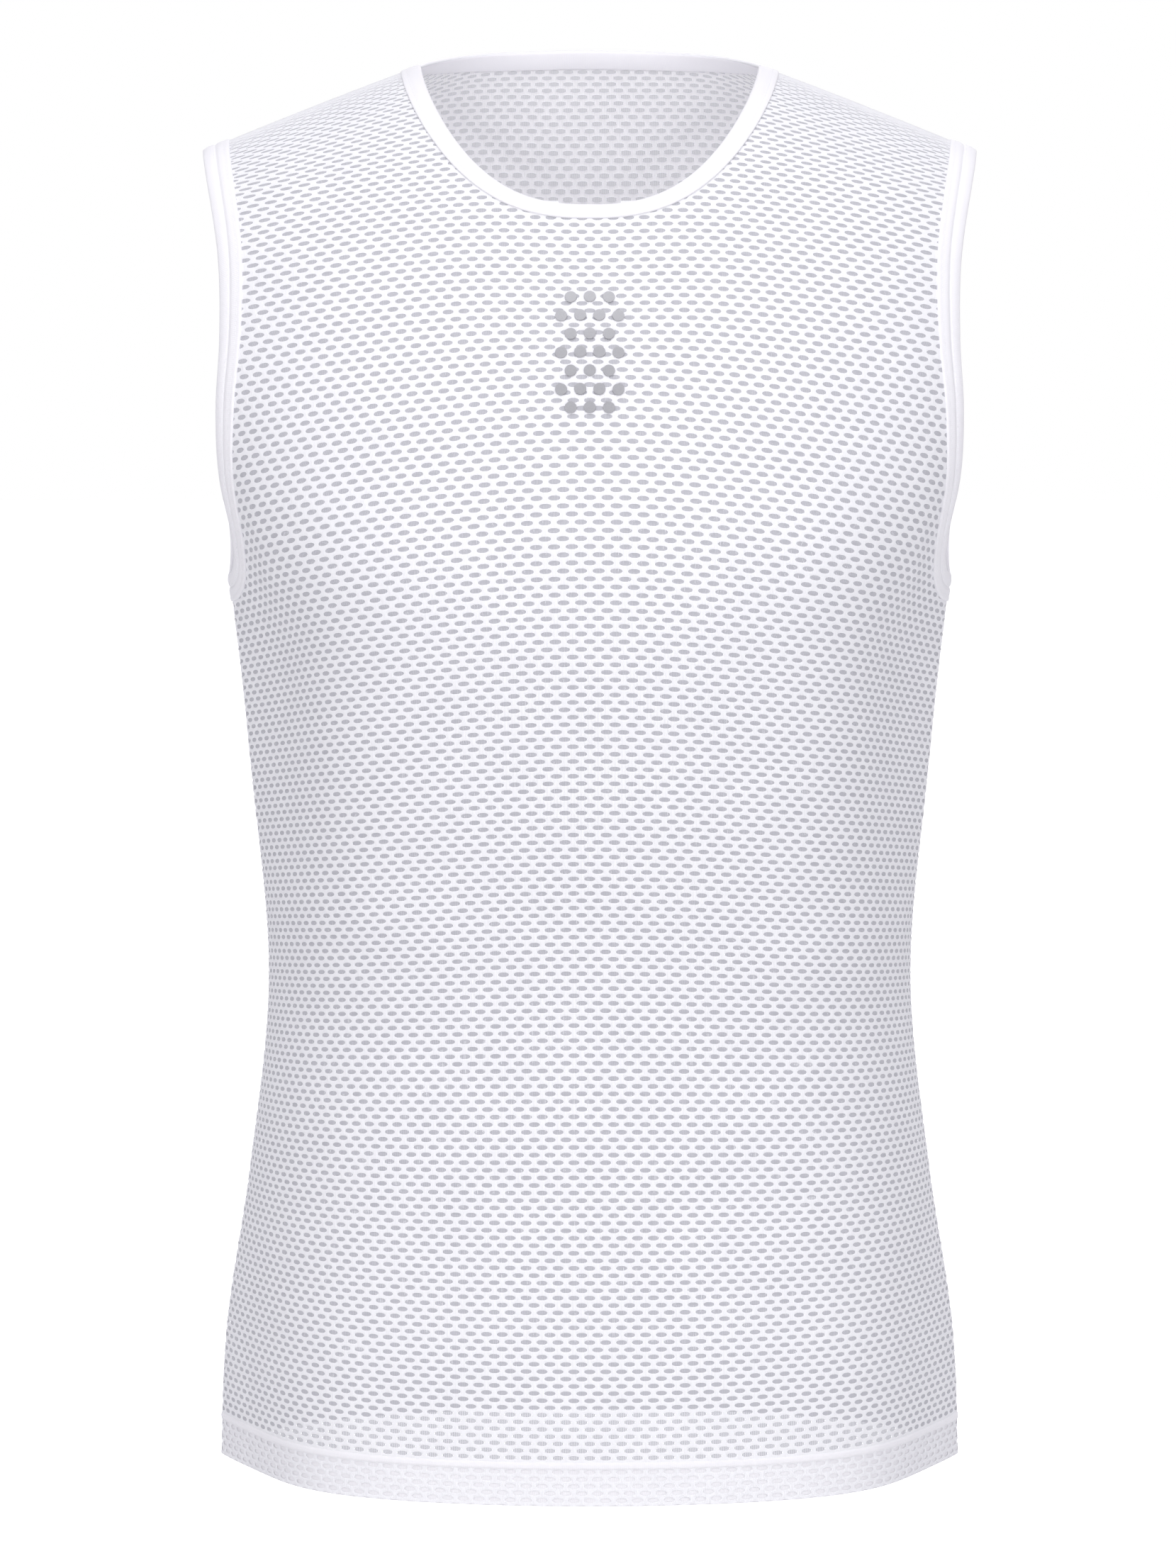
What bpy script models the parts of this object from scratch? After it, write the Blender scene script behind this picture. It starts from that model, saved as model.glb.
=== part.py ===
"""Cycling base layer vest: a sleeveless open-net knit, standing hollow as on a general figure.

Metres, +Z up. The front looks towards -Y and the wearer's left is at +X. The origin is the middle
of the shoulder line, midway between the two neck points, where the wearer's shoulders hold it.

The cloth follows one form. A place on the form has two numbers: `turn`, the angle round the body
from the middle of the front, and `run`, the way down over the shoulder from the shoulder line.
Each piece is a net of such places, with its wall along the form's normals.
"""

import math
from collections import namedtuple

import bmesh
import bpy
import numpy as np

OBJECT_NAME = "base_layer_vest"

# The form: a general figure, in sections below the shoulder line. The depths are those that the
# section would have without the rounding of the shoulders. The side plane is how strongly the
# front turns into a flat side before the side seam, as a share of the half width.
Section = namedtuple("Section", "drop half_width front_depth back_depth side_plane")
SECTIONS = (
    Section(0.000, 0.2120, 0.084, 0.088, 0.00),
    Section(0.060, 0.1982, 0.089, 0.098, 0.00),
    Section(0.100, 0.1935, 0.096, 0.106, 0.00),
    Section(0.140, 0.1900, 0.107, 0.113, 0.00),
    Section(0.180, 0.1818, 0.116, 0.118, 0.00),
    Section(0.220, 0.1722, 0.122, 0.118, 0.12),
    Section(0.260, 0.1673, 0.124, 0.115, 0.34),
    Section(0.330, 0.1602, 0.118, 0.106, 0.30),
    Section(0.430, 0.1524, 0.108, 0.094, 0.12),
    Section(0.520, 0.1619, 0.111, 0.098, 0.12),
    Section(0.600, 0.1736, 0.118, 0.106, 0.24),
    Section(0.660, 0.1762, 0.122, 0.110, 0.28),
)
FULLNESS = 0.065  # how much fuller than an ellipse a section is
PLANE_POWER = 6  # how near to the side the side plane keeps
SHOULDER_ROUND = 0.180  # the height over which front and back close over the shoulder

# The shoulder line, seen from the front
SHOULDER_SLOPE = 0.42
LINE_HEIGHT = 0.0185  # in the middle, above the neck points
LINE_ROUND = 0.050  # how softly the line turns over in the middle
NAPE_RISE = 0.041  # how much higher the form climbs behind the neck
NAPE_HALF_WIDTH = 0.140
NAPE_POWER = 2.5  # how broad its top is
NAPE_RUN = 0.130  # the way back from the shoulder line over which it climbs
SLOPE_FADE = 0.300  # the drop at which the sections have become level

# The cut
LENGTH = 0.657
HEM_DEPTH = 0.020
NECK_HALF_WIDTH = 0.079
NECK_FRONT_RUN = 0.1765
NECK_BACK_RUN = 0.130
NECK_CORNERS = (0.88, 0.74)  # the powers of its corner curve: the middle's and the neck point's
NECK_BAND = 0.010
ARMHOLE_TURN = math.radians(57.0)  # where its edge crosses the shoulder line
ARMHOLE_RUN = 0.336
ARMHOLE_CORNERS = (1.0, 0.9)  # the powers of its corner curve: the pit's and the shoulder's
FRONT_SCOOP = math.radians(2.5)  # how much further in the edge is cut, midway down
BACK_SCOOP = math.radians(-2.5)
ARMHOLE_BAND = 0.0135

# The cloth. A panel's outer face lies on the form, and its inner face at these heights.
SINGLE = -0.0012
TURNED_UP = -0.0022
HEM_STEP = 0.0012  # the height over which the wall grows where the turned-up layer ends
SEAM_GAP = 0.0003

# A folded band's section: the way in from its open edge, as a share of its width and a length to
# add, and the height over the form
BandPoint = namedtuple("BandPoint", "share inset height")
PLAIN_BAND = (
    BandPoint(0.0, 0.0000, -0.0006),
    BandPoint(0.0, 0.0003, 0.0001),
    BandPoint(0.0, 0.0011, 0.0004),
    BandPoint(1.0, 0.0000, 0.0004),
    BandPoint(1.0, 0.0000, -0.0016),
    BandPoint(0.0, 0.0011, -0.0016),
    BandPoint(0.0, 0.0003, -0.0013),
)
CREASE = (BandPoint(0.40, 0.0, 0.0005), BandPoint(0.48, 0.0, 0.0001), BandPoint(0.56, 0.0, 0.0005))
CREASED_BAND = PLAIN_BAND[:3] + CREASE + PLAIN_BAND[3:]

# The nets
COLUMNS = 14  # from the middle to the side
HEM_ROWS = 2  # in the turned-up hem
BODY_ROWS = 15  # from the hem's top to the armpit
CHEST_ROWS = 9  # from there to the neck binding, in the middle
NECK_ROWS = 13  # along half of the neck binding
RELAXING = 400  # rounds in which the places of a net are evened out
TURN_SCALE = 0.16  # metres per radian, to even out turns and runs together
FINE_STEP = 1e-4  # in turn or run, to find how the cloth lies
EDGE_STEP = 1e-3  # as a share of an edge, to find its heading
EDGE_SAMPLES = 400  # along an edge, to measure it
SIDE_STEPS = 6  # in which a place is moved aside over the form
HALVINGS = 40  # to find a turn by its x

# Finishes
Finish = namedtuple("Finish", "color roughness")
SHARP_ANGLE = math.radians(40)
NET_KNIT = Finish((0.84, 0.84, 0.87, 1.0), 0.75)
PLAIN_KNIT = Finish((0.92, 0.92, 0.93, 1.0), 0.70)


# ---------------------------------------------------------------- the form


def section_size(column, drop):
    """One column of the section table at a drop, along a smooth curve through the rows."""
    drops = np.array([row.drop for row in SECTIONS])
    sizes = np.array([getattr(row, column) for row in SECTIONS])
    slopes = np.gradient(sizes, drops)
    drop = np.clip(drop, drops[0], drops[-1])
    row = np.clip(np.searchsorted(drops, drop, side="right") - 1, 0, len(drops) - 2)
    step = drops[row + 1] - drops[row]
    s = (drop - drops[row]) / step
    return (
        sizes[row] * (1 + 2 * s) * (1 - s) ** 2
        + slopes[row] * step * s * (1 - s) ** 2
        + sizes[row + 1] * s**2 * (3 - 2 * s)
        + slopes[row + 1] * step * s**2 * (s - 1)
    )


def shoulder_line(x):
    """The height of the shoulder line at x: even slopes, rounded off in the middle."""
    return LINE_HEIGHT - SHOULDER_SLOPE * (np.hypot(x, LINE_ROUND) - LINE_ROUND)


def nape(x, run):
    """How much higher than the shoulder line the form climbs behind the neck."""
    beside = np.maximum(1 - np.abs(x / NAPE_HALF_WIDTH) ** NAPE_POWER, 0.0) ** 2
    behind = np.minimum(run / NAPE_RUN, 1.0)
    return NAPE_RISE * beside * behind**2 * (3 - 2 * behind)


def on_form(turn, run):
    """The points of the form at the given turns and runs, as an array of x, y, z."""
    turn, run = np.broadcast_arrays(np.asarray(turn, float), np.asarray(run, float))
    turn = np.where(run < 0, math.pi - turn, turn)  # past the line lies the other side
    run = np.abs(run)
    over = np.minimum(run / SHOULDER_ROUND, math.pi / 2)
    beyond = np.maximum(run - SHOULDER_ROUND * math.pi / 2, 0.0)
    drop = SHOULDER_ROUND * (1 - np.cos(over)) + beyond
    sin, cos = np.sin(turn), np.cos(turn)
    depth = np.where(
        cos > 0, section_size("front_depth", drop), section_size("back_depth", drop)
    )
    planed = section_size("side_plane", drop) * np.maximum(cos, 0.0) * sin**PLANE_POWER
    x = section_size("half_width", drop) * (sin * (1 + FULLNESS * cos**2) - planed)
    y = -depth * np.sin(over) * cos * (1 + FULLNESS * sin**2)
    share = 0.5 * (1 + np.cos(math.pi * np.minimum(drop / SLOPE_FADE, 1.0)))
    line = shoulder_line(x) + np.where(cos > 0, 0.0, nape(x, run))
    return np.stack([x, y, share * line - drop], axis=-1)


def run_at_drop(drop):
    """The run that reaches a drop below the shoulders' rounding."""
    return drop + SHOULDER_ROUND * (math.pi / 2 - 1)


def turn_at_x(x):
    """The turn at which the shoulder line has the given x."""
    low, high = 0.0, math.pi / 2
    for _ in range(HALVINGS):
        middle = (low + high) / 2
        if on_form(middle, 0.0)[0] < x:
            low = middle
        else:
            high = middle
    return low


def place(turn, run, back):
    """Points of the form, with turns on the back counted from the middle of the back."""
    return on_form(math.pi - turn if back else turn, run)


def lay_of_cloth(turn, run, back):
    """How points move with the turn and with the run, and the outward normals."""
    by_turn = place(turn + FINE_STEP, run, back) - place(turn - FINE_STEP, run, back)
    by_run = place(turn, run + FINE_STEP, back) - place(turn, run - FINE_STEP, back)
    outward = np.cross(by_run, by_turn) * (-1 if back else 1)
    outward /= np.linalg.norm(outward, axis=-1, keepdims=True)
    return by_turn / (2 * FINE_STEP), by_run / (2 * FINE_STEP), outward


def off_form(turn, run, back, height):
    """Points at a height over the form."""
    height = np.broadcast_to(height, np.shape(turn))[..., None]
    return place(turn, run, back) + lay_of_cloth(turn, run, back)[2] * height


def step_aside(turn, run, heading, back, width):
    """Moves places over the form by a width, to the left of their heading, seen from outside."""
    by_turn, by_run, outward = lay_of_cloth(turn, run, back)
    forward = by_turn * heading[0][..., None] + by_run * heading[1][..., None]
    for _ in range(SIDE_STEPS):
        by_turn, by_run, outward = lay_of_cloth(turn, run, back)
        aside = np.cross(outward, forward)
        aside /= np.linalg.norm(aside, axis=-1, keepdims=True)
        tt, rr = (by_turn * by_turn).sum(-1), (by_run * by_run).sum(-1)
        tr = (by_turn * by_run).sum(-1)
        at, ar = (aside * by_turn).sum(-1), (aside * by_run).sum(-1)
        share = width / SIDE_STEPS / (tt * rr - tr * tr)
        turn = turn + (rr * at - tr * ar) * share
        run = run + (tt * ar - tr * at) * share
    return turn, run


# ---------------------------------------------------------------- the edges of the cut


def corner_curve(s, powers):
    """A quarter of a full ellipse, as the two shares that run 1 to 0 and 0 to 1 with s."""
    angle = s * math.pi / 2
    return np.cos(angle) ** powers[0], np.sin(angle) ** powers[1]


def neck_edge(s, back):
    """The open edge at the neck, from the shoulder line (s = 0) to the middle (s = 1)."""
    across, down = corner_curve(s, NECK_CORNERS)
    return turn_at_x(NECK_HALF_WIDTH) * across, (NECK_BACK_RUN if back else NECK_FRONT_RUN) * down


def armhole_edge(s, back):
    """The open edge at the armhole, from the shoulder line (s = 0) to the side (s = 1)."""
    across, down = corner_curve(s, ARMHOLE_CORNERS)
    scoop = (BACK_SCOOP if back else FRONT_SCOOP) * np.sin(math.pi * s) ** 2
    return math.pi / 2 - (math.pi / 2 - ARMHOLE_TURN) * across - scoop, ARMHOLE_RUN * down


def inset_edge(edge, s, back, width):
    """An open edge moved into the cloth by a width."""
    s = np.asarray(s, float)
    before = np.array(edge(np.clip(s - EDGE_STEP, 0.0, 1.0), back))
    after = np.array(edge(np.clip(s + EDGE_STEP, 0.0, 1.0), back))
    cloth_side = (1 if edge is neck_edge else -1) * (-1 if back else 1)
    return step_aside(*edge(s, back), after - before, back, cloth_side * width)


def even_steps(edge, back, rows):
    """Values of s from 0 to 1 that cut an edge into stretches of equal length."""
    s = np.linspace(0.0, 1.0, EDGE_SAMPLES)
    points = place(*edge(s, back), back)
    lengths = np.linalg.norm(np.diff(points, axis=0), axis=1)
    walked = np.concatenate([[0.0], np.cumsum(lengths)])
    return np.interp(np.linspace(0.0, walked[-1], rows + 1), walked, s)


# ---------------------------------------------------------------- front and back


def panel_net(back):
    """The turns and runs of half a panel, as rows from the hem up and columns from the middle."""
    hem_run = run_at_drop(LENGTH)
    neck_s = even_steps(neck_edge, back, NECK_ROWS)[::-1]
    arm_s = even_steps(armhole_edge, back, CHEST_ROWS + NECK_ROWS)[::-1]
    neck_turn, neck_run = inset_edge(neck_edge, neck_s, back, NECK_BAND + SEAM_GAP)
    arm_turn, arm_run = inset_edge(armhole_edge, arm_s, back, ARMHOLE_BAND + SEAM_GAP)

    below_neck = np.linspace(hem_run - HEM_DEPTH, neck_run[0], BODY_ROWS + CHEST_ROWS + 1)[:-1]
    below_arm = np.linspace(hem_run - HEM_DEPTH, arm_run[0], BODY_ROWS + 1)[:-1]
    inner = np.stack(
        [np.concatenate([below_neck * 0, neck_turn]), np.concatenate([below_neck, neck_run])], -1
    )
    outer = np.stack(
        [np.concatenate([below_arm * 0 + math.pi / 2, arm_turn]), np.concatenate([below_arm, arm_run])],
        -1,
    )
    side_run = outer[: BODY_ROWS + 1, 1]
    side_turn, _ = step_aside(
        np.full(len(side_run), math.pi / 2),
        side_run,
        (np.zeros(len(side_run)), -np.ones(len(side_run))),
        back,
        (-1 if back else 1) * SEAM_GAP / 2,
    )
    outer[: BODY_ROWS + 1, 0] = side_turn
    across = np.linspace(0.0, 1.0, COLUMNS + 1)[None, :, None]
    net = inner[:, None] * (1 - across) + outer[:, None] * across
    net[..., 0] *= TURN_SCALE
    for _ in range(RELAXING):
        around = net[:-2, 1:-1] + net[2:, 1:-1] + net[1:-1, :-2] + net[1:-1, 2:]
        net[1:-1, 1:-1] = around / 4
    net[..., 0] /= TURN_SCALE
    _, by_run, _ = lay_of_cloth(net[-1, :, 0], net[-1, :, 1], back)
    net[-1, :, 1] = SEAM_GAP / 2 / np.linalg.norm(by_run, axis=-1)

    hem_rows = np.repeat(net[:1], HEM_ROWS, axis=0)
    hem_rows[:, :, 1] = np.array([hem_run, hem_run - HEM_DEPTH + HEM_STEP])[:, None]
    return np.concatenate([hem_rows, net])


def grid_faces(rows, columns, first, turned):
    """The four-sided faces of a grid of points that starts at an index."""
    at = first + np.arange(rows * columns).reshape(rows, columns)
    faces = np.stack([at[:-1, :-1], at[:-1, 1:], at[1:, 1:], at[1:, :-1]], -1).reshape(-1, 4)
    return faces[:, ::-1] if turned else faces


def panel_mesh(name, back):
    """Half a panel with its wall, open in the middle, where Mirror joins on the other half."""
    net = panel_net(back)
    turn, run = net[..., 0], net[..., 1]
    wall = np.full(turn.shape, SINGLE)
    wall[:HEM_ROWS] = TURNED_UP
    at_turn = turn.copy()
    at_turn[: HEM_ROWS + BODY_ROWS + 1, -1] = math.pi / 2  # one direction for both walls of a seam
    outward = lay_of_cloth(at_turn, run, back)[2]
    outer = place(turn, run, back)
    inner = outer + outward * wall[..., None]
    middle_rows = HEM_ROWS + BODY_ROWS + CHEST_ROWS
    for skin in (outer, inner):
        skin[: middle_rows + 1, 0, 0] = 0.0
    rows, columns = turn.shape
    at = np.arange(rows * columns).reshape(rows, columns)
    rim = np.concatenate([at[0, :-1], at[:-1, -1], at[-1, :0:-1], at[: middle_rows - 1 : -1, 0]])
    walls = np.stack([rim[:-1], rim[1:], rim[1:] + at.size, rim[:-1] + at.size], -1)
    skins = [grid_faces(rows, columns, 0, back), grid_faces(rows, columns, at.size, not back)]
    faces = np.concatenate(skins + [walls if back else walls[:, ::-1]])
    mesh = bpy.data.meshes.new(name)
    mesh.from_pydata(np.concatenate([outer.reshape(-1, 3), inner.reshape(-1, 3)]), [], faces.tolist())
    return mesh


def make_panel(name, back, finish, collection):
    """A whole panel: half of it with its mirror image."""
    piece = bpy.data.objects.new(name, panel_mesh(name, back))
    collection.objects.link(piece)
    mirror = piece.modifiers.new("other half", "MIRROR")
    mirror.merge_threshold = 0.00005
    dress(piece, finish)


# ---------------------------------------------------------------- bindings


def band_mesh(name, edge, width, section, rows, side):
    """A closed band along an open edge, through copies of its section."""
    front_s, back_s = (even_steps(edge, back, rows) for back in (False, True))
    around = []
    for point in section:
        inset = point.share * width + point.inset
        front, back = (
            off_form(*inset_edge(edge, s, is_back, inset), is_back, point.height)
            for s, is_back in ((front_s, False), (back_s, True))
        )
        around.append(half_or_whole(edge, front, back))
    net = np.stack(around, axis=1) * (side, 1, 1)
    sections, points = net.shape[:2]
    at = np.arange(sections * points).reshape(sections, points)
    onward = np.roll(at, -1, axis=0)
    faces = np.stack([at, np.roll(at, -1, 1), np.roll(onward, -1, 1), onward], -1).reshape(-1, 4)
    mesh = bpy.data.meshes.new(name)
    mesh.from_pydata(net.reshape(-1, 3), [], faces.tolist())
    turn_faces_out(mesh)
    return mesh


def half_or_whole(edge, front, back):
    """The closed loop through the points of half an edge: round an arm, or mirrored at the neck."""
    if edge is armhole_edge:
        return np.concatenate([front[:-1], back[:0:-1]])
    mirror = (-1, 1, 1)
    front[-1, 0] = back[-1, 0] = 0.0
    return np.concatenate([front[:-1], front[:0:-1] * mirror, back[:-1] * mirror, back[:0:-1]])


def turn_faces_out(mesh):
    """Turns every face of a closed mesh outwards."""
    shape = bmesh.new()
    shape.from_mesh(mesh)
    bmesh.ops.recalc_face_normals(shape, faces=shape.faces)
    shape.to_mesh(mesh)
    shape.free()


def make_band(name, edge, width, section, rows, side, finish, collection):
    """A binding round an open edge, on the wearer's left (1) or right (-1), or in the middle."""
    piece = bpy.data.objects.new(name, band_mesh(name, edge, width, section, rows, side))
    collection.objects.link(piece)
    dress(piece, finish)


# ---------------------------------------------------------------- the vest


def dress(piece, finish):
    """Smooth shading, and a material of the piece's own."""
    piece.data.shade_smooth()
    piece.data.set_sharp_from_angle(angle=SHARP_ANGLE)
    material = bpy.data.materials.new(piece.name + "_cloth")
    material.use_nodes = True
    shader = material.node_tree.nodes["Principled BSDF"]
    shader.inputs["Base Color"].default_value = finish.color
    shader.inputs["Roughness"].default_value = finish.roughness
    shader.inputs["Metallic"].default_value = 0.0
    piece.data.materials.append(material)


def main():
    """The vest: two panels and their three bindings, in one collection."""
    for old in list(bpy.data.objects):
        bpy.data.objects.remove(old)
    vest = bpy.data.collections.new(OBJECT_NAME)
    bpy.context.scene.collection.children.link(vest)
    make_panel("front", False, NET_KNIT, vest)
    make_panel("back", True, NET_KNIT, vest)
    make_band("neck_binding", neck_edge, NECK_BAND, PLAIN_BAND, NECK_ROWS, 1, PLAIN_KNIT, vest)
    for name, side in (("armhole_binding_left", 1), ("armhole_binding_right", -1)):
        rows = CHEST_ROWS + NECK_ROWS
        make_band(name, armhole_edge, ARMHOLE_BAND, CREASED_BAND, rows, side, PLAIN_KNIT, vest)


if __name__ == "__main__":
    main()
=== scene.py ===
"""Cycling base layer vest: net panels, bindings and sewing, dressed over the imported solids.

Metres, +Z up. The front looks towards -Y and the wearer's left is at +X. The cloth follows the
same form as the solids: `turn` is the angle round the body from the middle of the front, and
`run` is the way down over the shoulder from the shoulder line.
"""
import math
from collections import namedtuple

import bmesh
import bpy
import numpy as np
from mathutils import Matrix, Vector


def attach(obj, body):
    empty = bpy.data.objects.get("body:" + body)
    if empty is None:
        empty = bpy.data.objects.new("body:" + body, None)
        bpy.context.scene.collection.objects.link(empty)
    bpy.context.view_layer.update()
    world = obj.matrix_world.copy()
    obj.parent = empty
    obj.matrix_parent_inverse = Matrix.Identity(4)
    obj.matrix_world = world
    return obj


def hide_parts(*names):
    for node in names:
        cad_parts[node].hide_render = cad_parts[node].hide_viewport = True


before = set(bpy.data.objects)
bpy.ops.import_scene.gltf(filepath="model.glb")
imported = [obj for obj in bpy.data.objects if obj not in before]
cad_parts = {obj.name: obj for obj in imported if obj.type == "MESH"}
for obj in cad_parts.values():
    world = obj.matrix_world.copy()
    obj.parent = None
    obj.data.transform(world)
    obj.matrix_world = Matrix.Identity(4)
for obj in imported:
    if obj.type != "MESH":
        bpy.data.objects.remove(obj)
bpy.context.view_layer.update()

# ---- the form and the cut

# Level sections of the body, by their drop under the shoulder line. side_plane is how much of the
# front's roundness beside the seam is taken off.
Section = namedtuple("Section", "drop half_width front_depth back_depth side_plane")
SECTIONS = [Section(*row) for row in (
    (0.000, 0.2120, 0.084, 0.088, 0.00),
    (0.060, 0.1982, 0.089, 0.098, 0.00),
    (0.100, 0.1935, 0.096, 0.106, 0.00),
    (0.140, 0.1900, 0.107, 0.113, 0.00),
    (0.180, 0.1818, 0.116, 0.118, 0.00),
    (0.220, 0.1722, 0.122, 0.118, 0.12),
    (0.260, 0.1673, 0.124, 0.115, 0.34),
    (0.330, 0.1602, 0.118, 0.106, 0.30),
    (0.430, 0.1524, 0.108, 0.094, 0.12),
    (0.520, 0.1619, 0.111, 0.098, 0.12),
    (0.600, 0.1736, 0.118, 0.106, 0.24),
    (0.660, 0.1762, 0.122, 0.110, 0.28),
)]
FULLNESS = 0.065  # how far a section swells past an oval between its middles
PLANE_POWER = 6
SHOULDER_ROUND = 0.180  # radius over which the cloth turns from the shoulder line to upright
SHOULDER_SLOPE = 0.42
LINE_HEIGHT = 0.0185  # the shoulder line's height at the middle, over the neck points
LINE_ROUND = 0.050
NAPE_RISE = 0.041  # the climb behind the neck
NAPE_HALF_WIDTH = 0.140
NAPE_POWER = 2.5
NAPE_RUN = 0.130
SLOPE_FADE = 0.300  # the drop at which the shoulders' slope has gone

LENGTH = 0.657
HEM_DEPTH = 0.020
NECK_HALF_WIDTH = 0.079
NECK_FRONT_RUN = 0.1765
NECK_BACK_RUN = 0.130
NECK_CORNERS = (0.88, 0.74)  # powers that round the edge's curve, across and down
NECK_BAND = 0.010
ARMHOLE_TURN = math.radians(57.0)
ARMHOLE_RUN = 0.336
ARMHOLE_CORNERS = (1.0, 0.9)
FRONT_SCOOP = math.radians(2.5)
BACK_SCOOP = math.radians(-2.5)
ARMHOLE_BAND = 0.0135
SIDE = math.pi / 2  # the turn of the side seam
SEAM_TURN = SIDE - 0.0004  # where a panel's cloth ends at the seam

FINE_STEP = 1e-4  # in turn and run, for the lay of the cloth
EDGE_STEP = 1e-3  # along an open edge, for its heading
EDGE_SAMPLES = 400
ASIDE_STEPS = 6
HALVINGS = 40

# The net. Down the middle of a panel: the eyelets' pitch along a row, the height of a row, and
# how strongly rows fall towards the side.
Knit = namedtuple("Knit", "run pitch row fall")
KNIT = [Knit(*row) for row in (
    (-0.05, 0.00620, 0.00335, 1.00),
    (0.080, 0.00650, 0.00335, 1.00),
    (0.180, 0.00710, 0.00335, 1.00),
    (0.235, 0.00715, 0.00335, 1.00),
    (0.265, 0.00745, 0.00330, 1.00),
    (0.293, 0.00785, 0.00335, 1.00),
    (0.320, 0.00805, 0.00340, 1.00),
    (0.352, 0.00780, 0.00335, 0.95),
    (0.385, 0.00762, 0.00335, 0.85),
    (0.445, 0.00750, 0.00335, 0.75),
    (0.510, 0.00715, 0.00335, 0.68),
    (0.575, 0.00720, 0.00350, 0.42),
    (0.640, 0.00725, 0.00340, 0.15),
    (0.700, 0.00725, 0.00330, 0.00),
    (0.780, 0.00725, 0.00315, 0.00),
)]
FIRST_ROW = 0.0026  # from the fold of the hem to the middle of the lowest row
FALL_SLOPE = 0.14
FALL_EASE = 0.085  # the way from the middle over which rows take up their slope
DIP_DEPTH = 0.0035  # how much lower the rows hang in the middle, under the front neck
DIP_HALF_WIDTH = 0.045
# The net is drawn out towards the armholes, and more so at the shoulders.
UPPER_STRETCH, UPPER_END, UPPER_EASE = 0.10, 0.27, 0.07
TOP_STRETCH, TOP_END, TOP_EASE = 0.12, 0.175, 0.05
STRETCH_LENGTH = 0.15
LEAST_CLOSING = 0.75  # limits how far rows shift where the cloth lies flat on the shoulders
FALL_ROUNDS = 3
ROW_SAMPLES = 2000
WAY_SAMPLES = 240
PAST_HEM = 0.01
# The field of eyelets before it is cut: half its width, the pitch that counts its columns, and
# its lowest line
FIELD_HALF_WIDTH = 0.27
FIELD_PITCH = 0.0070
LOWEST_LINE = -2
# An eyelet, in shares of a pitch and of a row, from its middle
EYELET = ((-0.365, 0.0), (-0.28, -0.20), (-0.13, -0.30), (0.13, -0.30), (0.28, -0.20),
          (0.365, 0.0), (0.28, 0.20), (0.13, 0.30), (-0.13, 0.30), (-0.28, 0.20))
NET_HEIGHT = -0.0003
BRIDGE_HEIGHT = 0.00012  # the knit between the eyelets stands up
RIM_HEIGHT = -0.00012  # and their rims dip
THREADS = 9  # across an eyelet
THREAD_SPREAD = 0.67
THREAD_WIDTH = 0.00049
THREAD_HEIGHT = -0.00052
THREAD_REACH = 0.325  # up and down from the middle of an eyelet, in shares of a row
THREAD_END = 0.39  # where the threads' reach would come to nothing, in shares of a pitch
NET_TUCK = {"neck": 0.0015, "armhole": 0.0020}  # from the bindings' open edges to the net's edge
KNIT_PITCH, KNIT_ROW = 0.0073, 0.00335  # the net's size before it is stretched

UV_SPAN = 0.80  # metres of cloth across the whole of a piece's map
MAP_MIDDLE = 0.34  # how far down the cloth the middle of the map lies
FLAT_SCALE = 0.16  # metres for a radian of turn, while a panel is cut flat


def section_size(column, drop):
    """One column of the section table at a drop, along a smooth curve through the rows."""
    drops = np.array([row.drop for row in SECTIONS])
    sizes = np.array([getattr(row, column) for row in SECTIONS])
    slopes = np.gradient(sizes, drops)
    drop = np.clip(drop, drops[0], drops[-1])
    row = np.clip(np.searchsorted(drops, drop, side="right") - 1, 0, len(drops) - 2)
    step = drops[row + 1] - drops[row]
    s = (drop - drops[row]) / step
    return (
        sizes[row] * (1 + 2 * s) * (1 - s) ** 2
        + slopes[row] * step * s * (1 - s) ** 2
        + sizes[row + 1] * s**2 * (3 - 2 * s)
        + slopes[row + 1] * step * s**2 * (s - 1)
    )


def line_fall(x):
    """How far the shoulder line has fallen at x."""
    return SHOULDER_SLOPE * (np.hypot(x, LINE_ROUND) - LINE_ROUND)


def nape(x, run):
    """How much higher than the shoulder line the form climbs behind the neck."""
    beside = np.maximum(1 - np.abs(x / NAPE_HALF_WIDTH) ** NAPE_POWER, 0.0) ** 2
    behind = np.minimum(run / NAPE_RUN, 1.0)
    return NAPE_RISE * beside * behind**2 * (3 - 2 * behind)


def drop_at(run):
    """How far the form has dropped at a run, before the slope of the shoulders."""
    over = np.minimum(run / SHOULDER_ROUND, math.pi / 2)
    beyond = np.maximum(run - SHOULDER_ROUND * math.pi / 2, 0.0)
    return SHOULDER_ROUND * (1 - np.cos(over)) + beyond


def slope_share(run):
    """The share of the shoulders' slope that a section at a run still has."""
    return 0.5 * (1 + np.cos(math.pi * np.minimum(drop_at(run) / SLOPE_FADE, 1.0)))


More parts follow.
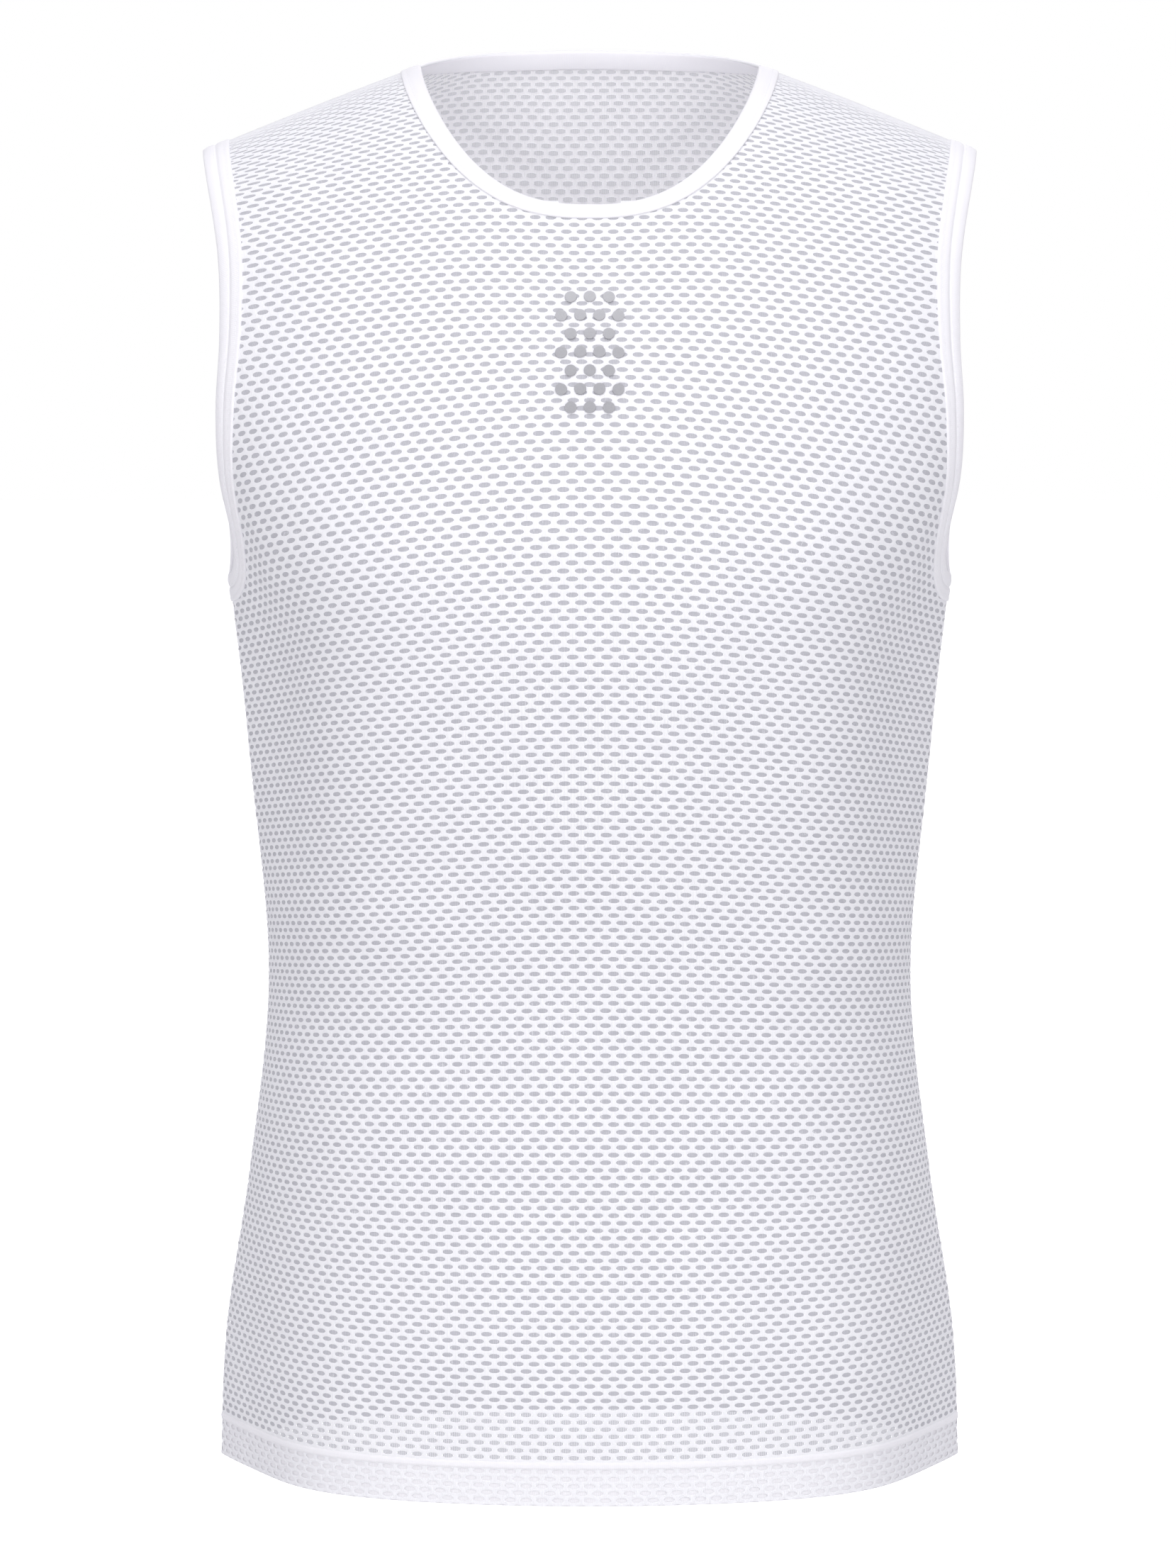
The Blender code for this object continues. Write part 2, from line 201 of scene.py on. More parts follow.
def on_form(turn, run):
    """The points of the form at the given turns and runs, as an array of x, y, z."""
    turn, run = np.broadcast_arrays(np.asarray(turn, float), np.asarray(run, float))
    turn = np.where(run < 0, math.pi - turn, turn)
    run = np.abs(run)
    drop = drop_at(run)
    sin, cos = np.sin(turn), np.cos(turn)
    depth = np.where(
        cos > 0, section_size("front_depth", drop), section_size("back_depth", drop)
    )
    planed = section_size("side_plane", drop) * np.maximum(cos, 0.0) * sin**PLANE_POWER
    planed = planed * np.sign(sin)
    x = section_size("half_width", drop) * (sin * (1 + FULLNESS * cos**2) - planed)
    closing = np.sin(np.minimum(run / SHOULDER_ROUND, math.pi / 2))
    y = -depth * closing * cos * (1 + FULLNESS * sin**2)
    line = LINE_HEIGHT - line_fall(x) + np.where(cos > 0, 0.0, nape(x, run))
    return np.stack([x, y, slope_share(run) * line - drop], axis=-1)


def run_at_drop(drop):
    """The run at a drop below the round of the shoulders."""
    return drop + SHOULDER_ROUND * (math.pi / 2 - 1)


HEM_RUN = run_at_drop(LENGTH)


def turn_at_x(x):
    """The turn of the shoulder line's point at x, by halving."""
    low, high = 0.0, SIDE
    for _ in range(HALVINGS):
        middle = (low + high) / 2
        if on_form(middle, 0.0)[0] < x:
            low = middle
        else:
            high = middle
    return low


NECK_TURN = turn_at_x(NECK_HALF_WIDTH)


def place(turn, run, back):
    """Points of the form, with turns on the back counted from the middle of the back."""
    return on_form(math.pi - turn if back else turn, run)


def lay_of_cloth(turn, run, back):
    """How the form's points move with turn and with run, and which way is out."""
    by_turn = place(turn + FINE_STEP, run, back) - place(turn - FINE_STEP, run, back)
    by_run = place(turn, run + FINE_STEP, back) - place(turn, run - FINE_STEP, back)
    outward = np.cross(by_run, by_turn) * (-1 if back else 1)
    outward /= np.linalg.norm(outward, axis=-1, keepdims=True)
    return by_turn / (2 * FINE_STEP), by_run / (2 * FINE_STEP), outward


def off_form(turn, run, back, height):
    """Points at a height over the form."""
    height = np.broadcast_to(height, np.shape(turn))[..., None]
    return place(turn, run, back) + lay_of_cloth(turn, run, back)[2] * height


def step_aside(turn, run, heading, back, width):
    """Moves places over the form by a width, to the left of their heading, seen from outside."""
    by_turn, by_run, outward = lay_of_cloth(turn, run, back)
    forward = by_turn * heading[0][..., None] + by_run * heading[1][..., None]
    for _ in range(ASIDE_STEPS):
        by_turn, by_run, outward = lay_of_cloth(turn, run, back)
        aside = np.cross(outward, forward)
        aside /= np.linalg.norm(aside, axis=-1, keepdims=True)
        tt, rr = (by_turn * by_turn).sum(-1), (by_run * by_run).sum(-1)
        tr = (by_turn * by_run).sum(-1)
        at, ar = (aside * by_turn).sum(-1), (aside * by_run).sum(-1)
        share = width / ASIDE_STEPS / (tt * rr - tr * tr)
        turn = turn + (rr * at - tr * ar) * share
        run = run + (tt * ar - tr * at) * share
    return turn, run


def corner_curve(s, powers):
    """A quarter round from (1, 0) to (0, 1), squared off by its powers."""
    angle = s * math.pi / 2
    return np.cos(angle) ** powers[0], np.sin(angle) ** powers[1]


def neck_edge(s, back):
    """The neck's open edge, from the shoulder line at s = 0 to the middle at s = 1."""
    across, down = corner_curve(s, NECK_CORNERS)
    return NECK_TURN * across, (NECK_BACK_RUN if back else NECK_FRONT_RUN) * down


def armhole_edge(s, back):
    """The armhole's open edge, from the shoulder line at s = 0 to the side seam at s = 1."""
    across, down = corner_curve(s, ARMHOLE_CORNERS)
    scoop = (BACK_SCOOP if back else FRONT_SCOOP) * np.sin(math.pi * s) ** 2
    return SIDE - (SIDE - ARMHOLE_TURN) * across - scoop, ARMHOLE_RUN * down


def inset_edge(edge, s, back, width):
    """An open edge moved into the cloth by a width."""
    s = np.asarray(s, float)
    before = np.array(edge(np.clip(s - EDGE_STEP, 0.0, 1.0), back))
    after = np.array(edge(np.clip(s + EDGE_STEP, 0.0, 1.0), back))
    cloth_side = (1 if edge is neck_edge else -1) * (-1 if back else 1)
    return step_aside(*edge(s, back), after - before, back, cloth_side * width)


def ways_walked(points):
    """How far along a line of points each of them lies."""
    return np.concatenate([[0.0], np.cumsum(np.linalg.norm(np.diff(points, axis=0), axis=1))])


def even_steps(edge, back, rows):
    """Values of s from 0 to 1 that cut an edge into stretches of equal length."""
    s = np.linspace(0.0, 1.0, EDGE_SAMPLES)
    points = place(*edge(s, back), back)
    walked = ways_walked(points)
    return np.interp(np.linspace(0.0, walked[-1], rows + 1), walked, s)


# ---- soft folds

# Each by its middle, its angle from level in degrees, its half length, half width and height
Fold = namedtuple("Fold", "x z angle length width height")
FRONT_FOLDS = [Fold(*row) for row in (  # the first three are broad and lie under the chest
    (0.100, -0.226, 16, 0.065, 0.032, 0.0036),
    (-0.103, -0.228, -15, 0.068, 0.031, 0.0036),
    (0.002, -0.212, 2, 0.060, 0.028, 0.0014),
    (0.118, -0.405, 8, 0.050, 0.018, 0.0013),
    (-0.112, -0.392, -10, 0.055, 0.017, 0.0012),
    (0.095, -0.452, 14, 0.055, 0.016, -0.0009),
    (-0.100, -0.447, -12, 0.050, 0.017, -0.0010),
    (0.030, -0.330, 84, 0.120, 0.022, 0.0007),
    (-0.045, -0.560, 80, 0.060, 0.022, 0.0010),
    (0.060, -0.585, 100, 0.055, 0.020, 0.0010),
)]
BACK_FOLDS = [Fold(*row) for row in (  # the last six are gathers under the neck binding
    (0.000, -0.430, 90, 0.120, 0.020, -0.0016),
    (0.050, -0.400, 62, 0.070, 0.016, 0.0012),
    (-0.052, -0.408, 118, 0.072, 0.016, 0.0012),
    (0.105, -0.250, 142, 0.060, 0.015, 0.0012),
    (-0.104, -0.256, 38, 0.058, 0.015, 0.0012),
    (0.048, -0.032, 35, 0.024, 0.0050, 0.0009),
    (-0.050, -0.033, 145, 0.024, 0.0050, 0.0009),
    (0.058, -0.046, 38, 0.022, 0.0055, -0.0008),
    (-0.058, -0.047, 142, 0.022, 0.0055, -0.0008),
    (0.012, -0.026, 80, 0.020, 0.0080, 0.0006),
    (-0.020, -0.027, 98, 0.020, 0.0080, -0.0006),
)]

# Folds start at a share of an open edge's size, or at a seam, and have their height a reach on.
Clear = namedtuple("Clear", "start reach")
CLEAR_OF_NECK, CLEAR_OF_ARMHOLE = Clear(1.18, 0.35), Clear(1.22, 0.45)
CLEAR_OF_SIDE, CLEAR_OF_HEM = Clear(0.0, 0.22), Clear(HEM_DEPTH, 0.030)


def fading(distance, reach):
    """0 at the start of a stretch and 1 from its reach on, smoothly."""
    share = np.clip(distance / reach, 0.0, 1.0)
    return share * share * (3 - 2 * share)


def fold_height(turn, run, back):
    """How far the folds move the cloth out. They end before every seam and binding."""
    points = place(turn, run, back)
    x, z = points[..., 0], points[..., 2]
    height = np.zeros(np.shape(x))
    for fold in BACK_FOLDS if back else FRONT_FOLDS:
        angle = math.radians(fold.angle)
        along = (x - fold.x) * math.cos(angle) + (z - fold.z) * math.sin(angle)
        across = (z - fold.z) * math.cos(angle) - (x - fold.x) * math.sin(angle)
        height += fold.height * np.exp(-((along / fold.length) ** 2) - (across / fold.width) ** 2)
    turn = np.abs(turn)
    run = np.maximum(run, 1e-6)
    neck_run = NECK_BACK_RUN if back else NECK_FRONT_RUN
    neck = (turn / NECK_TURN) ** (2 / NECK_CORNERS[0]) + (run / neck_run) ** (2 / NECK_CORNERS[1])
    arm = (np.maximum(SIDE - turn, 0) / (SIDE - ARMHOLE_TURN)) ** 2 + (run / ARMHOLE_RUN) ** 2.2
    return (
        height
        * fading(SIDE - turn - CLEAR_OF_SIDE.start, CLEAR_OF_SIDE.reach)
        * fading(HEM_RUN - CLEAR_OF_HEM.start - run, CLEAR_OF_HEM.reach)
        * fading(neck - CLEAR_OF_NECK.start, CLEAR_OF_NECK.reach)
        * fading(arm - CLEAR_OF_ARMHOLE.start, CLEAR_OF_ARMHOLE.reach)
    )


def on_cloth(turn, run, back, height):
    """Points at a height over the cloth as it lies, folds included."""
    return off_form(turn, run, back, height + fold_height(turn, run, back))


# ---- the lie of the net


def knit_column(name, run):
    """One column of the net's table at a run down the middle of a panel."""
    return np.interp(run, [row.run for row in KNIT], [getattr(row, name) for row in KNIT])


ROW_RUNS = np.linspace(KNIT[0].run, HEM_RUN + PAST_HEM, ROW_SAMPLES)
ROW_COUNTS = np.concatenate(
    [[0.0], np.cumsum(np.diff(ROW_RUNS) / knit_column("row", (ROW_RUNS[1:] + ROW_RUNS[:-1]) / 2))]
)
ROW_COUNTS = np.interp(HEM_RUN - FIRST_ROW, ROW_RUNS, ROW_COUNTS) - ROW_COUNTS


def run_of_row(row):
    """The run in the middle of a panel at a row, counted up from the hem's fold."""
    return np.interp(-np.asarray(row, float), -ROW_COUNTS, ROW_RUNS)


class SideWays:
    """Turns from lengths along the cloth, measured level from a panel's middle."""

    def __init__(self, back):
        self.runs = np.linspace(0.0, HEM_RUN + PAST_HEM, WAY_SAMPLES)
        turns = np.linspace(0.0, SIDE, WAY_SAMPLES)
        points = place(turns[None, :], self.runs[:, None], back)
        steps = np.linalg.norm(np.diff(points, axis=1), axis=-1)
        walked = np.concatenate([np.zeros((len(self.runs), 1)), np.cumsum(steps, axis=1)], axis=1)
        self.reach = walked[:, -1]
        even = np.linspace(0.0, 1.0, WAY_SAMPLES)
        self.turns = np.array(
            [np.interp(even * reach, way, turns) for reach, way in zip(self.reach, walked)]
        )

    def turn(self, length, run):
        """The turn at a length from the middle, past the side seam in a straight line."""
        run = np.clip(run, self.runs[0], self.runs[-1])
        share = np.abs(length) / np.interp(run, self.runs, self.reach)
        row = (run - self.runs[0]) / (self.runs[1] - self.runs[0])
        low_row = np.clip(row.astype(int), 0, len(self.runs) - 2)
        column = np.minimum(share, 1.0) * (self.turns.shape[1] - 1)
        low = np.clip(column.astype(int), 0, self.turns.shape[1] - 2)
        part, across = row - low_row, column - low
        table = self.turns
        turn = (
            table[low_row, low] * (1 - part) * (1 - across)
            + table[low_row, low + 1] * (1 - part) * across
            + table[low_row + 1, low] * part * (1 - across)
            + table[low_row + 1, low + 1] * part * across
        )
        return np.sign(length) * (turn + np.maximum(share - 1.0, 0.0) * SIDE)


def net_place(column, row, back, ways):
    """The turn and run of a place in the net, by its column from the middle and its row."""
    column, row = np.broadcast_arrays(np.asarray(column, float), np.asarray(row, float))
    middle_run = run_of_row(row)
    length = column * knit_column("pitch", middle_run)
    upper = fading(UPPER_END - middle_run, UPPER_EASE)
    stretch = UPPER_STRETCH * upper + TOP_STRETCH * fading(TOP_END - middle_run, TOP_EASE)
    length = length * (1 + stretch * (length / STRETCH_LENGTH) ** 2)
    closing = np.sin(np.clip(middle_run / SHOULDER_ROUND, 0, math.pi / 2))
    closing = np.maximum(closing, LEAST_CLOSING)
    fall = FALL_SLOPE * FALL_EASE * np.log(np.cosh(length / FALL_EASE))
    fall = fall * knit_column("fall", middle_run)
    run = middle_run
    for _ in range(FALL_ROUNDS):
        turn = ways.turn(length, run)
        x = place(turn, np.maximum(run, 0.0), back)[..., 0]
        natural = line_fall(x)
        if back:
            natural = natural + nape(0.0, np.maximum(run, 0.0)) - nape(x, np.maximum(run, 0.0))
        natural = natural * slope_share(np.maximum(run, 0.0))
        run = middle_run + (fall - natural) / closing
    if not back:
        run = run + DIP_DEPTH * upper * np.exp(-((length / DIP_HALF_WIDTH) ** 2))
    return ways.turn(length, run), run


def half_outline(back):
    """Half a panel's outline in turns and runs, a little inside its bindings' open edges."""
    s = np.linspace(0.0, 1.0, 90)
    neck = np.stack(inset_edge(neck_edge, s, back, NET_TUCK["neck"]), -1)
    arm = np.stack(inset_edge(armhole_edge, s, back, NET_TUCK["armhole"]), -1)
    above, beside, below = -0.03, SIDE + 0.3, HEM_RUN + 0.02
    top = [(arm[0][0], above), (neck[0][0], above)]
    rest = [(0.0, neck[-1][1]), (0.0, below), (beside, below), (beside, arm[-1][1])]
    return np.concatenate([top, neck, rest, arm[::-1]])


def inside(turn, run, outline):
    """Which places lie inside an outline."""
    turn = np.abs(turn)
    result = np.zeros(turn.shape, bool)
    for (t0, r0), (t1, r1) in zip(outline, np.roll(outline, -1, axis=0)):
        crosses = (r0 > run) != (r1 > run)
        if r0 != r1:
            result ^= crosses & (turn < (t1 - t0) * (run - r0) / (r1 - r0) + t0)
    return result


def cut_net(back, ways):
    """A panel's net as a flat mesh in turns and runs, cut at the side seams, hem and shoulder."""
    outline = half_outline(back)
    half_columns = int(FIELD_HALF_WIDTH / FIELD_PITCH)
    rows = int(ROW_COUNTS[0]) - 2
    lines = np.arange(LOWEST_LINE, rows + 1)
    half_steps = np.arange(-2 * half_columns - 2, 2 * half_columns + 3) / 2
    line_column, line_row = np.broadcast_arrays(half_steps[None, :], lines[:, None] - 0.5)
    line_turn, line_run = net_place(line_column, line_row, back, ways)
    line_keep = inside(line_turn, line_run, outline)
    per_line = len(half_steps)
    middle = 2 * half_columns + 2

    row_numbers, columns = np.meshgrid(lines[:-1], np.arange(-half_columns, half_columns + 1),
                                       indexing="ij")
    shift = (row_numbers % 2) * 0.5
    centre = columns + shift
    left = np.rint(middle + 2 * centre - 1).astype(int)
    lower = (row_numbers - LOWEST_LINE) * per_line + left
    upper = lower + per_line
    corners = np.stack([upper, upper + 1, upper + 2, lower + 2, lower + 1, lower], -1)
    corners = corners.reshape(-1, 6)
    keep = line_keep.reshape(-1)[corners].all(axis=1)
    corner_turns = np.abs(line_turn.reshape(-1)[corners])
    corner_runs = line_run.reshape(-1)[corners]
    keep &= (corner_turns.min(axis=1) < SIDE) & (corner_runs.max(axis=1) > 0)
    keep &= corner_runs.min(axis=1) < HEM_RUN
    corners = corners[keep]
    centre, row_numbers = centre.reshape(-1)[keep], row_numbers.reshape(-1)[keep]

    rim = np.array(EYELET)
    lens_column = centre[:, None] + rim[None, :, 0]
    lens_row = row_numbers[:, None] - rim[None, :, 1]
    lens_turn, lens_run = net_place(lens_column, lens_row, back, ways)

    first = line_turn.size
    lens = first + np.arange(len(centre) * len(rim)).reshape(-1, len(rim))
    # The corners of a cell: upper left, middle and right, then lower right, middle and left
    ul, um, ur, lr, lm, ll = corners.T
    e = lens.T
    faces = [
        (ul, um, e[2], e[1]), (um, e[3], e[2]), (um, ur, e[4], e[3]),
        (ur, e[5], e[4]), (ur, lr, e[5]), (lr, e[6], e[5]),
        (lr, lm, e[7], e[6]), (lm, e[8], e[7]), (lm, ll, e[9], e[8]),
        (ll, e[0], e[9]), (ll, ul, e[0]), (ul, e[1], e[0]),
    ]
    quads = np.concatenate([np.stack(f, -1) for f in faces if len(f) == 4])
    triangles = np.concatenate([np.stack(f, -1) for f in faces if len(f) == 3])

    turns, runs, column_way, row_way = (
        np.concatenate([along.ravel(), around.ravel()]) for along, around in (
            (line_turn, lens_turn), (line_run, lens_run),
            (line_column, lens_column), (line_row, lens_row))
    )
    heights = np.where(np.arange(len(turns)) < first, BRIDGE_HEIGHT, RIM_HEIGHT)
    used = np.unique(np.concatenate([quads.ravel(), triangles.ravel()]))
    number = np.full(len(turns), -1)
    number[used] = np.arange(len(used))
    flat = np.stack([turns[used] * FLAT_SCALE, runs[used], heights[used]], -1)
    mesh = new_mesh("flat net", flat, number[quads].tolist() + number[triangles].tolist())
    knit = mesh.attributes.new("knit_place", "FLOAT_VECTOR", "POINT")
    ways_in_knit = np.stack([column_way[used], row_way[used], used * 0.0], -1)
    knit.data.foreach_set("vector", ways_in_knit.astype(np.float32).ravel())

    shape = bmesh.new()
    shape.from_mesh(mesh)
    edge = SEAM_TURN * FLAT_SCALE
    cuts = (((edge, 0, 0), (1, 0, 0)), ((-edge, 0, 0), (-1, 0, 0)),
            ((0, HEM_RUN, 0), (0, 1, 0)), ((0, 0.0001, 0), (0, -1, 0)))
    for point, direction in cuts:
        everything = shape.verts[:] + shape.edges[:] + shape.faces[:]
        bmesh.ops.bisect_plane(shape, geom=everything, plane_co=point, plane_no=direction,
                               dist=1e-6, clear_outer=True)
    shape.to_mesh(mesh)
    shape.free()
    return mesh, centre, row_numbers


def mesh_points(mesh):
    """A mesh's points as an array with a row for each."""
    points = np.empty(len(mesh.vertices) * 3)
    mesh.vertices.foreach_get("co", points)
    return points.reshape(-1, 3)


def face_corners(mesh):
    """The point at each corner of a mesh's faces, in the order of the faces."""
    corners = np.empty(len(mesh.loops), int)
    mesh.loops.foreach_get("vertex_index", corners)
    return corners


def write_map(mesh, places):
    """A map from a place in metres for each corner of the faces."""
    layer = mesh.uv_layers.new(name="OFBake")
    layer.data.foreach_set("uv", (places / UV_SPAN + 0.5).astype(np.float32).ravel())


def set_map(mesh, places):
    """The piece's own map, from each point's place on its cloth in metres."""
    write_map(mesh, places[face_corners(mesh)])


def new_mesh(name, points, faces):
    """A mesh from an array of points and a list of faces."""
    mesh = bpy.data.meshes.new(name)
    mesh.from_pydata(points, [], faces)
    return mesh


def new_piece(name, mesh, material):
    """A smooth-shaded object of the scene, from a mesh in its final place."""
    mesh.name = name
    piece = bpy.data.objects.new(name, mesh)
    bpy.context.scene.collection.objects.link(piece)
    mesh.materials.append(material)
    mesh.shade_smooth()
    return piece


def net_panel(name, back, ways, material):
    """A panel's net on the cloth, with the columns and rows of its eyelets."""
    mesh, centre, rows = cut_net(back, ways)
    flat = mesh_points(mesh)
    turn, run = flat[:, 0] / FLAT_SCALE, flat[:, 1]
    knit = np.empty(len(flat) * 3, np.float32)
    mesh.attributes["knit_place"].data.foreach_get("vector", knit)
    places = knit.reshape(-1, 3)[:, :2] * (KNIT_PITCH, KNIT_ROW) - (0.0, MAP_MIDDLE)
    mesh.attributes.remove(mesh.attributes["knit_place"])
    points = on_cloth(turn, run, back, NET_HEIGHT + flat[:, 2])
    mesh.vertices.foreach_set("co", points.astype(np.float32).ravel())
    if not back:
        mesh.flip_normals()
    mesh.update()
    set_map(mesh, places)
    return new_piece(name, mesh, material), centre, rows


def thread_piece(name, back, ways, centre, rows, material):
    """The rungs of threads across each eyelet."""
    middles = (np.arange(THREADS) - (THREADS - 1) / 2) / THREADS * THREAD_SPREAD
    half_row = THREAD_REACH * np.sqrt(np.maximum(1 - (middles / THREAD_END) ** 2, 0.05))
    half_column = THREAD_WIDTH / 2 / KNIT_PITCH
    offsets = np.array([(-1, -1), (1, -1), (1, 1), (-1, 1)])
    column = (centre[:, None, None] + middles[None, :, None]
              + offsets[None, None, :, 0] * half_column)
    row = rows[:, None, None] + offsets[None, None, :, 1] * half_row[None, :, None]
    turn, run = net_place(column, row, back, ways)
    keep = ((np.abs(turn) < SIDE - 0.001) & (run > 0.0003) & (run < HEM_RUN - HEM_DEPTH))
    keep = keep.all(axis=-1).reshape(-1)
    turn, run = turn.reshape(-1, 4)[keep], run.reshape(-1, 4)[keep]
    points = on_cloth(turn, run, back, THREAD_HEIGHT).reshape(-1, 3)
    places = np.stack([column.reshape(-1, 4)[keep] * KNIT_PITCH,
                       row.reshape(-1, 4)[keep] * KNIT_ROW - MAP_MIDDLE], -1).reshape(-1, 2)
    faces = np.arange(len(points)).reshape(-1, 4)
    mesh = new_mesh(name, points, (faces[:, ::-1] if back else faces).tolist())
    set_map(mesh, places)
    return new_piece(name, mesh, material)


# ---- strips, bands and stitches


def strip_piece(name, turns, runs, heights, back, places, material, form_turn=False):
    """A sheet through rows of places: turns, runs and heights have a row for each line.

    form_turn says that turns are counted round the body and don't start anew on the back.
    """
    if form_turn:
        points = off_form(turns, runs, False, heights)
    else:
        points = on_cloth(turns, runs, back, heights)
    rows, columns = turns.shape
    at = np.arange(rows * columns).reshape(rows, columns)
    faces = np.stack([at[:-1, :-1], at[1:, :-1], at[1:, 1:], at[:-1, 1:]], -1).reshape(-1, 4)
    faces = (faces if back else faces[:, ::-1]).tolist()
    mesh = new_mesh(name, points.reshape(-1, 3), faces)
    set_map(mesh, places.reshape(-1, 2))
    return new_piece(name, mesh, material)


HEM_COLUMNS = 180
HEM_MAP_PLACE = 0.38
# Lines of the turned-up layer and of the ridge that covers its sewing: way up from the fold, height
HEM_LINES = ((-0.0001, -0.0003), (0.0003, -0.0007), (0.0012, -0.0007), (0.0045, -0.0007),
             (0.0090, -0.0007), (0.0135, -0.0007), (0.0165, -0.0007), (0.0180, -0.0007),
             (0.0192, -0.0008), (HEM_DEPTH, -0.0014))
COVER_LINES = ((0.0166, -0.0003), (0.0168, 0.0), (0.0176, 0.00015), (0.0186, 0.00025),
               (0.0196, 0.0001), (0.0199, -0.0003))


def hem_piece(name, back, ways, lines, material):
    """A level strip round a panel's hem, from side seam to side seam."""
    insets, heights = np.array(lines).T
    runs = HEM_RUN - insets[:, None] + np.zeros((1, HEM_COLUMNS + 1))
    share = np.linspace(-1.0, 1.0, HEM_COLUMNS + 1)[None, :]
    reach = np.interp(runs, ways.runs, ways.reach)
    turns = np.clip(ways.turn(share * reach, runs), -SEAM_TURN, SEAM_TURN)
    places = np.stack([share * reach, insets[:, None] + 0 * reach - HEM_MAP_PLACE], -1)
    high = heights[:, None] + 0 * turns
    return strip_piece(name, turns, runs, high, back, places, material)


# A binding's section, from its open edge over the outside and back along the inside. A point lies
# at a share of the band's width and an inset beyond it.
BandPoint = namedtuple("BandPoint", "share inset height")
BAND_FOLD = ((0.0, 0.0000, -0.0006), (0.0, 0.0002, -0.0001), (0.0, 0.0007, 0.0003))
BAND_BACK = ((1.0, -0.0002, -0.0005), (1.0, -0.0002, -0.0013), (1.0, -0.0008, -0.0016),
             (0.5, 0.0, -0.0017), (0.0, 0.0013, -0.0016), (0.0, 0.0004, -0.0013))
NECK_FACE = (
    (0.0, 0.0015, 0.0005), (0.35, 0.0, 0.0007), (0.60, 0.0, 0.00065), (0.68, 0.0, 0.00050),
    (0.76, 0.0, 0.00065), (0.93, 0.0, 0.00055), (1.0, -0.0002, 0.0003),
)
ARMHOLE_FACE = (
    (0.0, 0.0016, 0.0005), (0.25, 0.0, 0.0008), (0.38, 0.0, 0.00065), (0.42, 0.0, 0.00050),
    (0.46, 0.0, 0.00020), (0.49, 0.0, 0.00005), (0.53, 0.0, 0.00045), (0.62, 0.0, 0.00075),
    (0.75, 0.0, 0.00070), (0.81, 0.0, 0.00050), (0.87, 0.0, 0.00065), (0.95, 0.0, 0.00050),
    (1.0, -0.0002, 0.0003),
)
NECK_SECTION, ARMHOLE_SECTION = (
    tuple(BandPoint(*point) for point in BAND_FOLD + face + BAND_BACK)
    for face in (NECK_FACE, ARMHOLE_FACE)
)
MAPPED_POINT = 4  # the section's point along which the map's length is taken
TURNED_IN = len(BAND_BACK) - 1  # strips of a section that face the wearer
NECK_NARROWING = 0.0028  # how much of its width the band has lost in the middle of the front


def band_loop(edge, inset, height, rows):
    """A closed line along an open edge, as points."""
    lines = []
    for back in (False, True):
        s = even_steps(edge, back, rows)
        narrowed = 0.0
        if edge is neck_edge and not back:
            kept = 1 - inset / NECK_BAND
            narrowed = NECK_NARROWING * kept * np.sin(s * math.pi / 2) ** 2
        lines.append(off_form(*inset_edge(edge, s, back, inset + narrowed), back, height))
    front, back = lines
    if edge is armhole_edge:
        return np.concatenate([front[:-1], back[:0:-1]])
    mirror = (-1, 1, 1)
    front[-1, 0] = back[-1, 0] = 0.0
    return np.concatenate([front[:-1], front[:0:-1] * mirror, back[:-1] * mirror, back[:0:-1]])


def band_piece(name, edge, width, section, rows, side, material, painted_light_inside):
    """A closed band along an open edge, with a map of its own."""
    lines = [band_loop(edge, p.share * width + p.inset, p.height, rows) for p in section]
    net = np.stack(lines, axis=1) * (side, 1, 1)
    rounds, points = net.shape[:2]
    at = np.arange(rounds * points).reshape(rounds, points)
    onward = np.roll(at, -1, axis=0)
    faces = np.stack([at, np.roll(at, -1, 1), np.roll(onward, -1, 1), onward], -1).reshape(-1, 4)
    mesh = new_mesh(name, net.reshape(-1, 3), faces.tolist())
    shape = bmesh.new()
    shape.from_mesh(mesh)
    bmesh.ops.recalc_face_normals(shape, faces=shape.faces)
    shape.to_mesh(mesh)
    shape.free()

    middle = net[:, MAPPED_POINT]
    along = ways_walked(middle)
    step = np.linalg.norm(middle[0] - middle[-1])
    around = ways_walked(net[0])
    closing = np.linalg.norm(net[0, 0] - net[0, -1])
    corner = face_corners(mesh).reshape(-1, 4)
    u, v = along[corner // points], around[corner % points]
    # A face that closes the band has its far side at the map's far end
    u_far = (u == 0) & (u.max(axis=1, keepdims=True) > along[-1] / 2)
    u = np.where(u_far, along[-1] + step, u)
    v_far = (v == 0) & (v.max(axis=1, keepdims=True) > around[-1] / 2)
    v = np.where(v_far, around[-1] + closing, v)
    write_map(mesh, np.stack([u - along[-1] / 2, v], -1).reshape(-1, 2))
    piece = new_piece(name, mesh, material)
    # The faces turned to the wearer take the lighter cloth, painted light inside the vest.
    mesh.materials.append(painted_light_inside)
    part_of_section = np.sort(corner % points, axis=1)[:, 1]
    turned_in = part_of_section >= points - TURNED_IN
    turned_in &= np.ptp(corner % points, axis=1) < 2
    mesh.polygons.foreach_set("material_index", turned_in.astype(np.int32))
    return piece


STITCH = (0.0017, 0.00034, 0.00026)  # length, width and height
STITCH_PITCH = 0.0023
STITCH_HEIGHT = 0.00052  # of its middle over the form
LINE_SAMPLES = 300


def taken_out(shape):
    """A modelled shape's points and faces. The shape itself leaves the scene."""
    points = mesh_points(shape.data)
    faces = [list(face.vertices) for face in shape.data.polygons]
    bpy.data.objects.remove(shape)
    return points, faces


